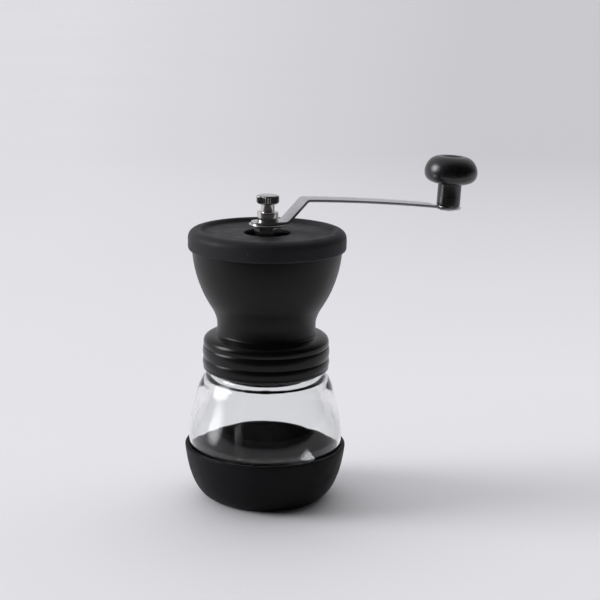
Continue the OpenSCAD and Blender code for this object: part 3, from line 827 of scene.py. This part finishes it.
def arm():
    """The flat strip with round ends, bent up from the hub and arched out to the knob."""
    path = arm_path()
    first, last = path[0][0], path[-1][0]
    nose = [ARM_HALF * (1 - math.cos(math.pi / 2 * (k + 0.35) / 14)) for k in range(15)]
    stations = sorted({first + s for s in nose} | {last - s for s in nose}
                      | {x for x, z in path if first + ARM_HALF < x < last - ARM_HALF})

    def half_width(x):
        end = min(x - first, last - x)
        return ARM_HALF if end >= ARM_HALF else math.sqrt(ARM_HALF**2 - (ARM_HALF - end)**2)

    start = stations[0]
    strip = single_point("crank_strip", start, -half_width(start), along(path, start))
    bpy.ops.mesh.extrude_vertices_move(
        TRANSFORM_OT_translate={"value": (0, 2 * half_width(start) * MM, 0)})
    bpy.ops.mesh.select_all(action="SELECT")
    for here, there in zip(stations, stations[1:]):
        step = ((there - here) * MM, 0, (along(path, there) - along(path, here)) * MM)
        bpy.ops.mesh.extrude_region_move(TRANSFORM_OT_translate={"value": step})
        wider = half_width(there) / half_width(here)
        bpy.ops.transform.resize(value=(1, wider, 1), center_override=(0, 0, 0))
    bpy.ops.mesh.select_all(action="SELECT")
    bpy.ops.mesh.normals_make_consistent(inside=False)
    done()
    if strip.data.polygons[len(strip.data.polygons) // 2].normal.z < 0:
        edit()
        bpy.ops.mesh.select_all(action="SELECT")
        bpy.ops.mesh.flip_normals()
        done()
    thick = strip.modifiers.new("thickness", "SOLIDIFY")
    thick.thickness = ARM_T * MM
    thick.offset = -1
    thick.use_even_offset = True
    bpy.ops.object.modifier_apply(modifier=thick.name)
    carved(strip, flatted_bar("hub_hole", SHAFT_R + 0.08, 3.08, ARM_Z - 1, NUT_Z + 1))
    hole = bar("pin_hole", 2.5, -5, 5, 32)
    placed(hole, knob_place())
    carved(strip, hole)
    bevelled(strip, 0.22, 3, 50)
    return finish_piece(smooth(strip, 30), "crank", "arm_steel", "crank_arm")


def thumb_nut():
    """A turned nut: plain skirt, narrow neck and a straight-knurled head."""
    head = (NUT_Z + 10, NUT_TOP)
    ridges = 30
    bore = STUD_R + 0.05
    outline = rounded([
        (bore, NUT_Z, 0.3), (6.05, NUT_Z, 0.35), (6.05, NUT_Z + 5.4, 0.45),
        (3.9, NUT_Z + 5.4, 0.3), (3.9, head[0], 0.4), (NUT_R - 1.0, head[0], 0.3),
        (NUT_R - 0.02, head[0] + 0.95), (NUT_R - 0.02, head[0] + 1.0),
        (NUT_R - 0.02, head[1] - 1.2), (NUT_R - 0.02, head[1] - 1.15),
        (NUT_R - 0.95, head[1] - 0.15, 0.4), (NUT_R - 2.6, head[1]), (0, head[1]),
        (0, NUT_Z + 12, 0.2), (bore, NUT_Z + 11.5)], 3)
    nut = turned("knurled_nut", outline, 4 * ridges, closed=False)
    pick(nut)
    edit()
    done()
    for depth, wanted in ((0.45, (2,)), (0.22, (1, 3))):
        def in_groove(co):
            step = round(math.atan2(co.y, co.x) / (2 * math.pi) * 4 * ridges) % 4
            r = math.hypot(co.x, co.y) / MM
            return step in wanted and r > NUT_R - 0.3 and co.z / MM > head[0] + 0.3
        select_where(nut, in_groove)
        shrink = 1 - depth / NUT_R
        bpy.ops.transform.resize(value=(shrink, shrink, 1), center_override=(0, 0, 0))
        done()
    return finish_piece(smooth(nut, 32), "nut", "nut_steel", "thumb_nut")


# ---- Knob ----

def knob_place():
    """From a piece drawn upright on the origin to its place on the arm's end."""
    return (Matrix.Translation((CRANK_LEN * MM, 0, KNOB_SEAT * MM))
            @ Matrix.Rotation(KNOB_TILT, 4, "Y"))


def knob():
    """The mushroom knob, with a parting step at its widest line and a chamfered hole on top."""
    foot = KNOB_WASHER
    top = foot + KNOB_H
    neck = foot + 13
    wide = foot + 19.6
    hole = 3.75
    outline = (
        [(2.55, foot), (KNOB_STEM_R - 1, foot)]
        + curve((KNOB_STEM_R - 1, foot), (KNOB_STEM_R - 0.4, foot), (KNOB_STEM_R, foot + 0.4),
                (KNOB_STEM_R, foot + 1), 5)
        + [(KNOB_STEM_R, foot + 1), (KNOB_STEM_R, foot + 6), (KNOB_STEM_R, neck - 0.3),
           (KNOB_STEM_R + 0.1, neck)]
        + curve((KNOB_STEM_R + 0.4, neck + 0.2), (KNOB_R - 3.4, neck + 0.4),
                (KNOB_R - 0.12, wide - 3.9), (KNOB_R - 0.12, wide), 22)
        + [(KNOB_R - 0.12, wide - 0.03), (KNOB_R - 0.02, wide + 0.06)]
        + curve((KNOB_R - 0.02, wide + 0.1), (KNOB_R - 0.02, wide + 5.4), (KNOB_R - 3.8, top),
                (hole + 3.3, top), 24)
        + rounded([(hole + 3.6, top), (hole + 3.1, top, 0.25), (hole, top - 1.4, 0.4),
                   (hole, 18.4), (2.55, 18.4)], 4)[1:])
    grip = turned("crank_knob", outline, 144)
    placed(grip, knob_place())
    return finish_piece(smooth(grip, 30), "knob", "knob_plastic", "knob")


def knob_pin():
    """The pin that the knob turns on: riveted under the arm, with a cross recess on top."""
    head = 18.6
    outline = rounded([
        (0, -ARM_T - 1), (4.1, -ARM_T - 1, 0.6), (4.1, -ARM_T, 0.1), (2.5, -ARM_T), (2.5, head),
        (3.4, head, 0.2), (3.4, head + 1.4, 0.5), (1.8, head + 2), (0, head + 2)], 3)
    pin = turned("knob_rivet_pin", outline, 48, closed=False)
    for size in ((1.7, 0.35), (0.35, 1.7)):
        slot = block("slot", (-size[0], -size[1], head + 1), (size[0], size[1], head + 3))
        carved(pin, slot)
    placed(pin, knob_place())
    return finish_piece(smooth(pin, 32), "crank", "nut_steel", "knob_pin")


def washer_under_knob():
    washer = turned("thin_washer", rounded([
        (2.6, 0), (KNOB_STEM_R - 0.2, 0, 0.08), (KNOB_STEM_R - 0.2, KNOB_WASHER, 0.08),
        (2.6, KNOB_WASHER)], 2), 96)
    placed(washer, knob_place())
    return finish_piece(smooth(washer, 50), "crank", "nut_steel", "knob_washer")


# ---- Burrs ----

def twisted(piece, turn_per_mm, start):
    """Leans every level of a turned piece round the axis, more with height."""
    levels = sorted({round(v.co.z / MM, 2) for v in piece.data.vertices})
    for level in levels:
        select_where(piece, lambda co: abs(co.z / MM - level) < 0.006)
        bpy.ops.transform.rotate(value=-turn_per_mm * (level - start), orient_axis="Z",
                                 center_override=(0, 0, 0))
        done()
    return piece


def toothed(piece, teeth, per_tooth, cut, where):
    """Pushes each tooth's back in or out by scaling its points about the axis."""
    for k in range(1, per_tooth):
        def on_tooth(co):
            step = round(math.atan2(co.y, co.x) / (2 * math.pi) * teeth * per_tooth) % per_tooth
            return step == k and where(math.hypot(co.x, co.y) / MM, co.z / MM)
        select_where(piece, on_tooth)
        size = 1 + cut * k / (per_tooth - 1)
        bpy.ops.transform.resize(value=(size, size, 1), center_override=(0, 0, 0))
        done()
    return piece


def inner_cone():
    """The grooved cone: steep saw teeth that lean round it, fine at the foot."""
    low, high = CONE_Z
    outline = ([(8.0, low), (14, low), (CONE_R, low)]
               + [(CONE_R - 0.05, low + 0.5), (CONE_R - 0.8, low + 2.6), (CONE_R - 1.7, low + 4.8),
                  (CONE_R - 2.6, low + 6.8), (CONE_R - 3.5, low + 8.8), (CONE_R - 5.4, low + 10.6),
                  (CONE_R - 7.4, low + 12.3), (CONE_R - 9.4, high - 0.4), (CONE_R - 9.9, high),
                  (9.4, high), (8.0, high)])
    cone = turned("inner_burr_cone", outline, 14 * 6)
    toothed(cone, 14, 6, -0.085, lambda r, z: r > 9.6 and z > low + 0.3)
    twisted(cone, 0.045, low)
    return finish_piece(smooth(cone, 24), "burr", "burr_ceramic", "inner_burr")


def outer_ring():
    """The fixed ring, whose saw teeth lean the other way."""
    low, high = RING_Z
    outline = ([(CONE_R + 0.7, low), (RING_R, low), (RING_R, high), (RING_R - 6.8, high)]
               + [(RING_R - 7.9, high - 2.6), (CONE_R - 3.3, low + 11.2),
                  (CONE_R - 2.5, low + 8.5), (CONE_R - 1.4, low + 5.6),
                  (CONE_R - 0.4, low + 2.8), (CONE_R + 0.35, low + 0.9)])
    ring = turned("outer_burr_ring", outline, 14 * 6)
    toothed(ring, 14, 6, 0.06, lambda r, z: r < CONE_R + 0.5)
    return finish_piece(smooth(ring, 24), "hopper", "burr_ceramic", "outer_burr")


def dial():
    """The lobed dial that sets the grind, on the shaft's lower thread."""
    low, high = DIAL_Z
    disc = bar("grind_dial", 11.6, low, high - 1.2, 96)
    for i in range(8):
        notch = bar("notch", 2.9, low - 1, high + 1, 48)
        turn = Matrix.Rotation(math.radians((i + 0.5) * 45), 4, "Z")
        carved(disc, placed(notch, turn @ Matrix.Translation((13 * MM, 0, 0))))
    collar = bar("collar", 6.5, low + 0.5, high, 64)
    carved(disc, collar, "UNION")
    carved(disc, bar("bore", THREAD_R + 0.05, low - 1, high + 1, 48))
    bevelled(disc, 0.35, 3, 50)
    return finish_piece(smooth(disc, 30), "dial", "inner_plastic", "adjusting_dial")


# ---- Studio ----

VIEW_TURN = math.radians(-20)
EYE = (19.1, -824, 305.4)
EYE_TILT = math.radians(77.09)
EYE_ROLL = math.radians(0.95)
LENS = 88.41
SKY = (-300, 800, 420)
WINDOW = (-1100, -40, 470)
FLOOR_SIZE = 60


def in_view(x, y, z):
    """A place given in millimetres with the camera looking straight along +Y."""
    return Matrix.Rotation(VIEW_TURN, 3, "Z") @ Vector((x, y, z)) * MM


def camera():
    data = bpy.data.cameras.new("camera")
    data.lens = LENS
    data.sensor_width = 36
    data.clip_start = 0.01
    eye = bpy.data.objects.new("camera", data)
    bpy.context.scene.collection.objects.link(eye)
    eye.matrix_world = (
        Matrix.Translation(in_view(*EYE)) @ Matrix.Rotation(VIEW_TURN, 4, "Z")
        @ Matrix.Rotation(EYE_TILT, 4, "X") @ Matrix.Rotation(EYE_ROLL, 4, "Z"))
    bpy.context.scene.camera = eye


def room():
    """A pale room lit from behind, from the left and from above, with a window on the left.

    Mirrors see the wide light at half its strength, so dark plastic keeps its depth.
    """
    world = bpy.data.worlds.new("room")
    bpy.context.scene.world = world
    world.use_nodes = True
    nodes, links = world.node_tree.nodes, world.node_tree.links
    where = nodes.new("ShaderNodeTexCoord")

    def patch(towards, start, end, low, high):
        """Light that grows smoothly from low to high as a direction turns towards one point."""
        facing = nodes.new("ShaderNodeVectorMath")
        facing.operation = "DOT_PRODUCT"
        facing.inputs[1].default_value = Vector(in_view(*towards)).normalized()
        links.new(where.outputs["Generated"], facing.inputs[0])
        glow = nodes.new("ShaderNodeMapRange")
        glow.interpolation_type = "SMOOTHSTEP"
        for key, value in (("From Min", start), ("From Max", end), ("To Min", low),
                           ("To Max", high)):
            glow.inputs[key].default_value = value
        links.new(facing.outputs["Value"], glow.inputs["Value"])
        return glow.outputs["Result"]

    glow = patch(SKY, -0.2, 0.75, 0.03, 1.3)
    window = patch(WINDOW, 0.94, 0.995, 0.0, 10.0)
    ray = nodes.new("ShaderNodeLightPath")
    mirrored = nodes.new("ShaderNodeMapRange")
    mirrored.inputs["To Min"].default_value = 1.0
    mirrored.inputs["To Max"].default_value = 0.5
    links.new(ray.outputs["Is Glossy Ray"], mirrored.inputs["Value"])
    strength = nodes.new("ShaderNodeMath")
    strength.operation = "MULTIPLY"
    links.new(glow, strength.inputs[0])
    links.new(mirrored.outputs["Result"], strength.inputs[1])
    total = nodes.new("ShaderNodeMath")
    total.operation = "ADD"
    links.new(strength.outputs[0], total.inputs[0])
    links.new(window, total.inputs[1])
    links.new(total.outputs[0], nodes["Background"].inputs["Strength"])
    nodes["Background"].inputs["Color"].default_value = (0.94, 0.93, 0.97, 1)


def studio():
    """A pale floor that turns slightly greyer far behind and to the right.

    Mirrors see its front part dark, as they would see an unlit room in front of a table.
    """
    clear_selection()
    bpy.ops.mesh.primitive_circle_add(vertices=96, radius=FLOOR_SIZE, fill_type="NGON")
    floor = bpy.context.object
    floor.name = "floor"
    floor.rotation_euler = (0, 0, VIEW_TURN)
    f = Finish("pale_floor", (0.85, 0.85, 0.85), 0.7)
    spot = f.node("SeparateXYZ", Vector=f.place)
    away, across = spot.outputs["Y"], spot.outputs["X"]
    far_in_front = f.spread(away, 1.0, 0.0, -0.42, -0.19)
    unlit = f.node("Math", {"operation": "MULTIPLY"}, _0=far_in_front,
                   _1=f.node("LightPath").outputs["Is Glossy Ray"]).outputs[0]
    depth = f.node("Math", {"operation": "ADD"}, _0=away, _1=-EYE[1] * MM).outputs[0]
    aside = f.node("Math", {"operation": "DIVIDE"}, _0=across, _1=depth).outputs[0]
    far = f.spread(away, 0.0, 1.0, 0.25, 1.6)
    shade = f.node("Math", {"operation": "MULTIPLY"}, _0=far,
                   _1=f.spread(aside, 0.25, 1.0, -0.15, 0.12)).outputs[0]
    pale = f.mix(f.spread(f.noise(1.5, 2), 0.0, 1.0), (0.84, 0.84, 0.845), (0.86, 0.86, 0.862))
    pale = f.mix(shade, pale, (0.62, 0.617, 0.625))
    f.link(f.mix(unlit, pale, (0.05, 0.05, 0.05)), "Base Color")
    floor.data.materials.append(f.material)
    room()
    bpy.context.scene.view_settings.view_transform = "Standard"


# ---- Putting it together ----

base_cup()
jar()
hopper()
burr_housing()
lid()
shaft()
hub()
washer_under_arm()
spring()
arm()
thumb_nut()
knob()
knob_pin()
washer_under_knob()
inner_cone()
outer_ring()
dial()

KEPT = {"jar_seal": "seal_silicone", "upper_bush": "bush_plastic", "lower_bush": "bush_plastic",
        "burr_retainer": "inner_plastic", "burr_carrier": "inner_plastic",
        "retainer_screws": "shaft_steel", "thrust_washer": "shaft_steel",
        "retaining_clip": "spring_steel", "spring_washer": "shaft_steel"}
for node, slot in KEPT.items():
    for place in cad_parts[node].material_slots:
        place.material = MATERIALS[slot]

camera()
studio()
